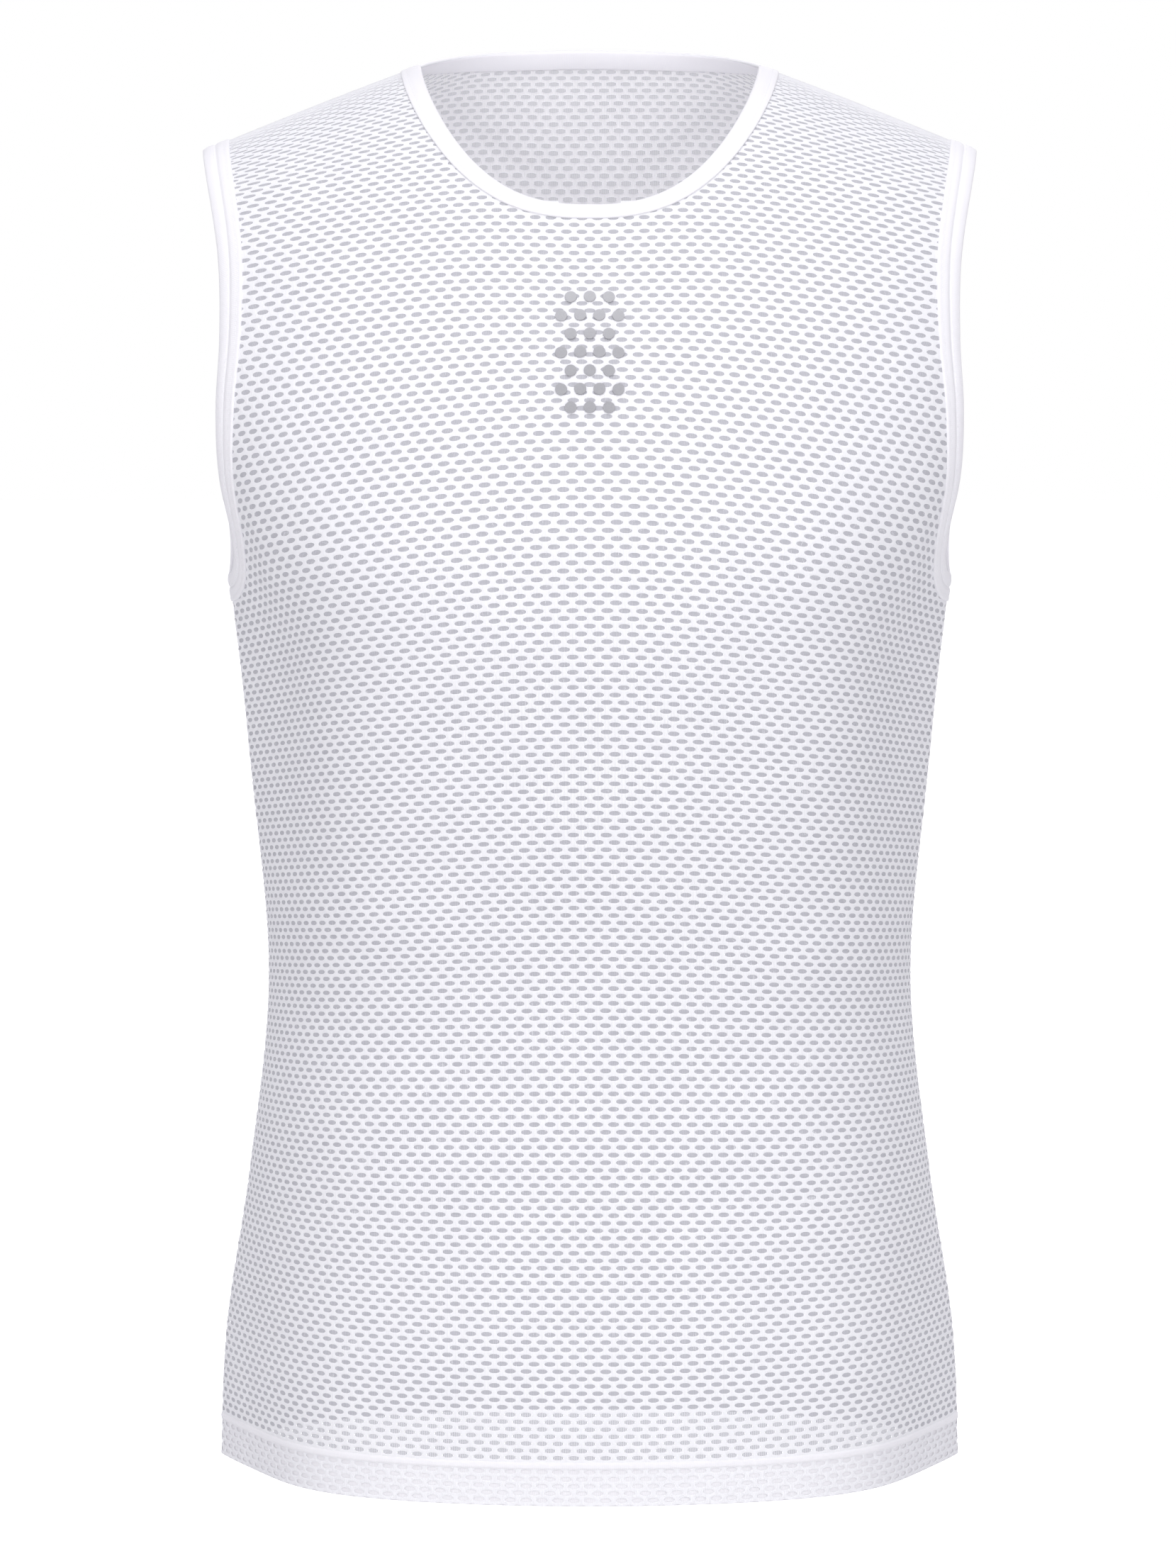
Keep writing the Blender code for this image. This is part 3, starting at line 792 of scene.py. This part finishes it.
def stitch_template():
    """One stitch: a small spindle of thread, 1 long, 1 wide and 1 high."""
    bpy.ops.object.select_all(action="DESELECT")
    bpy.ops.mesh.primitive_uv_sphere_add(segments=6, ring_count=4, radius=0.5)
    stitch = bpy.context.object
    bpy.ops.object.mode_set(mode="EDIT")
    bpy.ops.mesh.select_all(action="SELECT")
    bpy.ops.transform.rotate(value=math.pi / 2, orient_axis="Y", center_override=(0, 0, 0))
    bpy.ops.object.mode_set(mode="OBJECT")
    return taken_out(stitch)


def laid_copies(name, template, centres, forward, outward, size, material):
    """Copies of a template along a line, as one piece."""
    points, faces = template
    forward = forward / np.linalg.norm(forward, axis=-1, keepdims=True)
    across = np.cross(outward, forward)
    across /= np.linalg.norm(across, axis=-1, keepdims=True)
    outward = np.cross(forward, across)
    scaled = points * size
    laid = (centres[:, None] + forward[:, None] * scaled[None, :, :1]
            + across[:, None] * scaled[None, :, 1:2] + outward[:, None] * scaled[None, :, 2:])
    count = len(points)
    all_faces = [[corner + count * n for corner in face] for n in range(len(centres))
                 for face in faces]
    return new_piece(name, new_mesh(name, laid.reshape(-1, 3), all_faces), material)


def along_band(edge, inset, height, pitch, side):
    """Where the stitches of a line along a band lie, and which way they point."""
    dense = band_loop(edge, inset, height, LINE_SAMPLES) * (side, 1, 1)
    above = band_loop(edge, inset, height + 0.001, LINE_SAMPLES) * (side, 1, 1)
    walked = ways_walked(np.concatenate([dense, dense[:1]]))
    spots = np.arange(0.0, walked[-1] - pitch / 2, pitch)

    def at(ways, line):
        """A closed line's points at ways along it."""
        line = np.concatenate([line, line[:1]])
        return np.stack([np.interp(ways % walked[-1], walked, line[:, k]) for k in range(3)], -1)

    centres = at(spots, dense)
    forward = at(spots + pitch / 3, dense) - at(spots - pitch / 3, dense)
    return centres, forward, at(spots, above) - centres


# ---- finishes


def add_node(tree, kind, inputs=None, **settings):
    """A node with its settings, and its inputs by name or number: a value, or a socket to link."""
    node = tree.nodes.new("ShaderNode" + kind)
    for name, value in settings.items():
        setattr(node, name, value)
    fill_inputs(tree, node, inputs or {})
    return node


def fill_inputs(tree, node, inputs):
    """Sets a node's inputs to values, or links them from other nodes' sockets."""
    for key, value in inputs.items():
        if isinstance(value, bpy.types.NodeSocket):
            tree.links.new(value, node.inputs[key])
        else:
            node.inputs[key].default_value = value


def math_node(tree, operation, *values):
    """The result of a sum, from values and sockets."""
    return add_node(tree, "Math", dict(enumerate(values)), operation=operation).outputs[0]


RIB_SHARE, LOOP_SHARE = 0.35, 0.15  # of the height, from the middle height up and down
LOOP_SLANT = 1.4


def knit_group():
    """Fine stockinette: the height of its loops, and a faint mottle, from a place in metres."""
    group = bpy.data.node_groups.new("stockinette", "ShaderNodeTree")
    face = group.interface
    face.new_socket("Place", in_out="INPUT", socket_type="NodeSocketVector")
    for name, value in (("Wale", 0.0006), ("Course", 0.0005), ("Mottle Size", 40.0)):
        socket = face.new_socket(name, in_out="INPUT", socket_type="NodeSocketFloat")
        socket.default_value = value
    face.new_socket("Height", in_out="OUTPUT", socket_type="NodeSocketFloat")
    face.new_socket("Mottle", in_out="OUTPUT", socket_type="NodeSocketFloat")
    start, end = group.nodes.new("NodeGroupInput"), group.nodes.new("NodeGroupOutput")

    split = add_node(group, "SeparateXYZ", {0: start.outputs["Place"]})
    wale = math_node(group, "DIVIDE", split.outputs["X"], start.outputs["Wale"])
    course = math_node(group, "DIVIDE", split.outputs["Y"], start.outputs["Course"])
    across = math_node(group, "SUBTRACT", math_node(group, "FRACT", wale), 0.5)
    across = math_node(group, "ABSOLUTE", across)
    slant = math_node(group, "MULTIPLY", across, LOOP_SLANT)
    slanted = math_node(group, "MULTIPLY", math_node(group, "ADD", course, slant), 2 * math.pi)
    loop = math_node(group, "MULTIPLY", math_node(group, "SINE", slanted), LOOP_SHARE)
    rib = math_node(group, "COSINE", math_node(group, "MULTIPLY", across, 2 * math.pi))
    height = math_node(group, "ADD", math_node(group, "MULTIPLY", rib, RIB_SHARE), loop)
    noise = add_node(group, "TexNoise", {"Detail": 3.0, "Vector": start.outputs["Place"],
                                         "Scale": start.outputs["Mottle Size"]})
    fill_inputs(group, end, {"Height": math_node(group, "ADD", height, 0.5),
                             "Mottle": noise.outputs["Fac"]})
    return group


KNIT_GROUP = knit_group()
GROOVE_SHADE_SHARE, MOTTLE_SHARE = 0.6, 0.4  # of the way from the darker colour to the light one: shade painted into the knit's grooves, and a random mottle


def cloth_material(name, light, groove_shade_and_mottle, roughness, wale, course, depth, inside=None, glow=0.0):
    """Knitted cloth, from the piece's own map in metres.

    inside is the colour of its back face, a lighter colour as painted light inside the vest. The
    glow stands for the daylight that comes through, and is on the back face alone where a piece
    has one.
    """
    material = bpy.data.materials.new(name)
    material.use_nodes = True
    tree = material.node_tree
    uv = add_node(tree, "UVMap", uv_map="OFBake")
    metres = add_node(tree, "Mapping", {
        "Location": (-UV_SPAN / 2, -UV_SPAN / 2, 0), "Scale": (UV_SPAN, UV_SPAN, 1),
        "Vector": uv.outputs[0],
    })
    knit = add_node(tree, "Group", node_tree=KNIT_GROUP)
    fill_inputs(tree, knit, {"Wale": wale, "Course": course, "Place": metres.outputs[0]})
    # The knit's low places take the darker colour: painted shade in the grooves between its loops.
    mottle = math_node(tree, "MULTIPLY", knit.outputs["Mottle"], MOTTLE_SHARE)
    shade = math_node(tree, "MULTIPLY_ADD", knit.outputs["Height"], GROOVE_SHADE_SHARE, mottle)
    mix = add_node(tree, "Mix", {"A": (*groove_shade_and_mottle, 1), "B": (*light, 1), "Factor": shade},
                   data_type="RGBA")
    color, through = mix.outputs["Result"], glow
    if inside:
        backfacing = add_node(tree, "NewGeometry").outputs["Backfacing"]
        inner = add_node(tree, "Mix", {"B": (*inside, 1), "Factor": backfacing, "A": color},
                         data_type="RGBA")
        color = inner.outputs["Result"]
        through = math_node(tree, "MULTIPLY", backfacing, glow)
    bump = add_node(tree, "Bump", {"Distance": depth, "Strength": 0.8,
                                   "Height": knit.outputs["Height"]})
    fill_inputs(tree, tree.nodes["Principled BSDF"], {
        "Roughness": roughness, "Sheen Weight": 0.15, "Sheen Roughness": 0.5,
        "Specular IOR Level": 0.25, "Emission Color": (0.97, 0.96, 1.0, 1),
        "Emission Strength": through, "Base Color": color, "Normal": bump.outputs["Normal"],
    })
    return material


def plain_material(name, color, roughness, grain, metallic=0.0):
    """Thread or print: an even colour with fine grain."""
    material = bpy.data.materials.new(name)
    material.use_nodes = True
    tree = material.node_tree
    spot = add_node(tree, "TexCoord").outputs["Object"]
    noise = add_node(tree, "TexNoise", {"Scale": grain, "Vector": spot}).outputs["Fac"]
    tone = add_node(tree, "MapRange", {"To Min": 0.90, "To Max": 1.06, "Value": noise})
    mix = add_node(tree, "VectorMath", {0: color, "Scale": tone.outputs["Result"]},
                   operation="SCALE")
    rough = add_node(tree, "MapRange", {"To Min": roughness - 0.1, "To Max": roughness + 0.1,
                                        "Value": noise})
    fill_inputs(tree, tree.nodes["Principled BSDF"], {
        "Metallic": metallic, "Base Color": mix.outputs[0], "Roughness": rough.outputs["Result"],
    })
    return material


# A knit's roughness, wale, course and depth
NET_FINISH = (0.75, 0.00062, 0.00050, 0.00012)
THREAD_FINISH = (0.8, 0.0003, 0.0004, 0.00005)
BINDING_FINISH = (0.70, 0.00050, 0.00045, 0.00008)
# The net's inside face is a flat lighter colour: painted light inside the vest.
net_knit = cloth_material("net_knit_cloth", (0.88, 0.88, 0.90), (0.78, 0.78, 0.82), *NET_FINISH,
                          inside=(0.90, 0.895, 0.92), glow=0.10)
# The eyelet threads are white cloth; their grey is painted shade, the dark inside of the vest seen
# between them, with a lighter grey on their inside face.
eyelet_shade_threads = cloth_material("eyelet_threads_painted_shade", (0.51, 0.51, 0.55), (0.43, 0.43, 0.47), *THREAD_FINISH,
                        inside=(0.64, 0.64, 0.67), glow=0.06)
plain_knit = cloth_material("binding_cloth", (0.87, 0.865, 0.885), (0.80, 0.79, 0.83),
                            *BINDING_FINISH)
# The binding's turned-in faces use a lighter copy of its cloth with a glow: painted light inside
# the vest.
painted_light_binding = cloth_material("binding_inside_painted_light", (0.90, 0.89, 0.92), (0.83, 0.82, 0.86),
                                *BINDING_FINISH, glow=0.12)
thread = plain_material("sewing_thread", (0.84, 0.84, 0.87), 0.6, 900.0)
reflective = plain_material("reflective_print", (0.36, 0.36, 0.38), 0.42, 1600.0, 0.35)


# ---- the pieces

panels = {}
for word, is_back in (("front", False), ("back", True)):
    ways = SideWays(is_back)
    net, eyelet_columns, eyelet_rows = net_panel(word + "_net", is_back, ways, net_knit)
    threads = thread_piece(word + "_threads", is_back, ways, eyelet_columns, eyelet_rows, eyelet_shade_threads)
    turned_up = hem_piece(word + "_hem", is_back, ways, HEM_LINES, plain_knit)
    cover = hem_piece(word + "_hem_sewing", is_back, ways, COVER_LINES, plain_knit)
    panels[word] = (net, threads, turned_up, cover)

bands = {}
bands["neck_binding"] = band_piece(
    "neck_binding_cloth", neck_edge, NECK_BAND, NECK_SECTION, 70, 1, plain_knit, painted_light_binding
)
for name, side in (("armhole_binding_left", 1), ("armhole_binding_right", -1)):
    bands[name] = band_piece(
        name + "_cloth", armhole_edge, ARMHOLE_BAND, ARMHOLE_SECTION, 110, side, plain_knit,
        painted_light_binding
    )

template = stitch_template()
sewing = {}
for name, edge, inset, side in (
    ("neck_stitches", neck_edge, 0.68 * NECK_BAND, 1),
    ("armhole_stitches_left", armhole_edge, 0.81 * ARMHOLE_BAND, 1),
    ("armhole_stitches_right", armhole_edge, 0.81 * ARMHOLE_BAND, -1),
    ("armhole_edge_stitches_left", armhole_edge, 0.42 * ARMHOLE_BAND, 1),
    ("armhole_edge_stitches_right", armhole_edge, 0.42 * ARMHOLE_BAND, -1),
):
    laid = along_band(edge, inset, STITCH_HEIGHT, STITCH_PITCH, side)
    sewing[name] = laid_copies(name, template, *laid, STITCH, thread)

# The reflective print on the chest: a field of round dots
DOT_ROWS = (3, 4, 3, 4, 3, 4, 3)
DOT_SIZE = (0.0054, 0.0054, 0.0003)
DOT_PITCH, DOT_ROW = 0.0086, 0.0083
PRINT_MIDDLE = -0.134  # its height
PRINT_HEIGHT = 0.00012  # of the film's middle over the form


def dot_template():
    """A disc of film with a softened rim, 1 wide and 1 thick."""
    bpy.ops.object.select_all(action="DESELECT")
    bpy.ops.mesh.primitive_cylinder_add(vertices=28, radius=0.5, depth=1.0)
    dot = bpy.context.object
    bpy.ops.object.mode_set(mode="EDIT")
    bpy.ops.mesh.select_all(action="SELECT")
    bpy.ops.mesh.bevel(offset=0.06, segments=2, affect="EDGES")
    bpy.ops.object.mode_set(mode="OBJECT")
    return taken_out(dot)


def print_piece():
    """The dots of the print, each lying flat on the chest."""
    chest_runs = np.linspace(0.05, 0.35, 300)
    chest_heights = off_form(chest_runs * 0, chest_runs, False, 0.0)[:, 2]
    spots = [
        ((column - (count - 1) / 2) * DOT_PITCH,
         PRINT_MIDDLE + (row - (len(DOT_ROWS) - 1) / 2) * DOT_ROW)
        for row, count in enumerate(DOT_ROWS) for column in range(count)
    ]
    lengths, levels = np.array(spots).T
    run = np.interp(-levels, -chest_heights, chest_runs)
    turn = SideWays(False).turn(lengths, run)
    centres = off_form(turn, run, False, PRINT_HEIGHT)
    ahead = off_form(turn + 0.01, run, False, PRINT_HEIGHT) - centres
    outward = lay_of_cloth(turn, run, False)[2]
    return laid_copies("chest_print", dot_template(), centres, ahead, outward, DOT_SIZE, reflective)


chest_print = print_piece()

# Seams, overlocked on the inside: a low dome of cloth along each
SEAM_WIDTH = 0.0055
BODY_RADIUS = 0.125  # at the side seams
SHOULDER_RADIUS = 0.2  # the shoulder line's length for a radian of turn
across = np.linspace(-0.5, 0.5, 7)[:, None]
dome = -0.0008 - 0.0005 * np.cos(np.pi * across)


def seam_pieces(word, side):
    """The side seam and the shoulder seam of one side."""
    armpit = ARMHOLE_RUN + ARMHOLE_BAND * 0.5
    down = np.linspace(armpit, HEM_RUN - 0.0004, 120)[None, :]
    turns = side * (SIDE + across * SEAM_WIDTH / BODY_RADIUS + 0 * down)
    places = np.stack([across * SEAM_WIDTH + 0 * down, down - MAP_MIDDLE + 0 * across], -1)
    side_seam = strip_piece("side_seam_" + word, turns, down + 0 * across, dome + 0 * down,
                            side < 0, places, plain_knit, form_turn=True)
    outer = inset_edge(armhole_edge, np.zeros(1), False, ARMHOLE_BAND * 0.6)[0][0]
    inner = inset_edge(neck_edge, np.zeros(1), False, NECK_BAND * 0.6)[0][0]
    out = side * np.linspace(inner, outer, 40)[None, :]
    runs = across * SEAM_WIDTH + 0 * out
    places = np.stack([out * SHOULDER_RADIUS + 0 * across, runs], -1)
    shoulder_seam = strip_piece("shoulder_seam_" + word, out + 0 * across, runs, dome + 0 * out,
                                side > 0, places, plain_knit, form_turn=True)
    return [side_seam, shoulder_seam]


seams = seam_pieces("left", 1) + seam_pieces("right", -1)

# ---- what moves and stands in

for piece in seams:
    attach(piece, "root")
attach(chest_print, "root")
for word, (net, threads, turned_up, cover) in panels.items():
    for piece in (net, threads, turned_up, cover):
        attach(piece, "root")
    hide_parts(word)
BAND_SEWING = {"neck_binding": ["neck_stitches"]}
for word in ("left", "right"):
    BAND_SEWING["armhole_binding_" + word] = ["armhole_stitches_" + word,
                                              "armhole_edge_stitches_" + word]
for name, piece in bands.items():
    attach(piece, "root")
    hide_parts(name)
    for line in BAND_SEWING[name]:
        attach(sewing[line], "root")

# ---- floor, light and camera


Lamp = namedtuple("Lamp", "name place size power color")
LAMPS = (
    Lamp("key_left", (-1.7, -2.8, 0.9), 2.0, 25, (1.0, 0.99, 0.97)),
    Lamp("key_right", (1.7, -2.8, 0.9), 2.0, 25, (1.0, 0.99, 0.98)),
    Lamp("low", (0.0, -3.3, -0.2), 1.4, 9, (0.98, 0.98, 1.0)),
    Lamp("back_left", (0.9, 3.2, 1.3), 2.0, 42, (1.0, 0.99, 0.98)),
    Lamp("back_right", (-0.7, 3.2, 0.6), 2.0, 20, (0.98, 0.99, 1.0)),
    Lamp("top", (0.0, -1.2, 2.2), 1.6, 31, (1.0, 1.0, 1.0)),
)
LAMP_AIM = (0, 0, -0.30)
FLOOR_LEVEL, FLOOR_RADIUS = -0.85, 30
FLOOR_LIFT = 0.75  # light of its own that only the camera sees, for a white ground
CAMERA_PLACE, CAMERA_AIM = (-0.0008, -2.5, -0.149), (-0.0008, 0.0, -0.337)
LENS, SENSOR = 121.8, 36.0


def turn_to(thing, aim):
    """Turns a lamp or a camera towards a point."""
    thing.rotation_euler = (Vector(aim) - thing.location).to_track_quat("-Z", "Y").to_euler()


def studio():
    """A white ground, soft lamps and the camera."""
    scene = bpy.context.scene
    bpy.ops.object.select_all(action="DESELECT")
    bpy.ops.mesh.primitive_circle_add(vertices=96, radius=FLOOR_RADIUS, fill_type="NGON",
                                      location=(0, 0, FLOOR_LEVEL))
    floor = bpy.context.object
    floor.name = "floor"
    material = bpy.data.materials.new("floor_paper")
    material.use_nodes = True
    tree = material.node_tree
    seen_by_camera = add_node(tree, "LightPath").outputs["Is Camera Ray"]
    fill_inputs(tree, tree.nodes["Principled BSDF"], {
        "Base Color": (0.90, 0.90, 0.90, 1), "Roughness": 0.9, "Emission Color": (1, 1, 1, 1),
        "Emission Strength": math_node(tree, "MULTIPLY", seen_by_camera, FLOOR_LIFT),
    })
    floor.data.materials.append(material)

    world = bpy.data.worlds.new("studio")
    scene.world = world
    world.use_nodes = True
    tree = world.node_tree
    around = tree.nodes["Background"]
    fill_inputs(tree, around, {"Color": (0.935, 0.925, 1.0, 1), "Strength": 0.50})
    white = add_node(tree, "Background", {"Color": (1, 1, 1, 1)})
    mix = add_node(tree, "MixShader", {0: add_node(tree, "LightPath").outputs["Is Camera Ray"],
                                       1: around.outputs[0], 2: white.outputs[0]})
    fill_inputs(tree, tree.nodes["World Output"], {"Surface": mix.outputs[0]})

    for lamp in LAMPS:
        data = bpy.data.lights.new(lamp.name, "AREA")
        data.size, data.energy, data.color = lamp.size, lamp.power, lamp.color
        light = bpy.data.objects.new(lamp.name, data)
        light.location = lamp.place
        turn_to(light, LAMP_AIM)
        scene.collection.objects.link(light)

    data = bpy.data.cameras.new("camera")
    data.sensor_width, data.lens = SENSOR, LENS
    camera = bpy.data.objects.new("camera", data)
    scene.collection.objects.link(camera)
    camera.location = CAMERA_PLACE
    turn_to(camera, CAMERA_AIM)
    scene.camera = camera
    scene.view_settings.view_transform = "Standard"


studio()
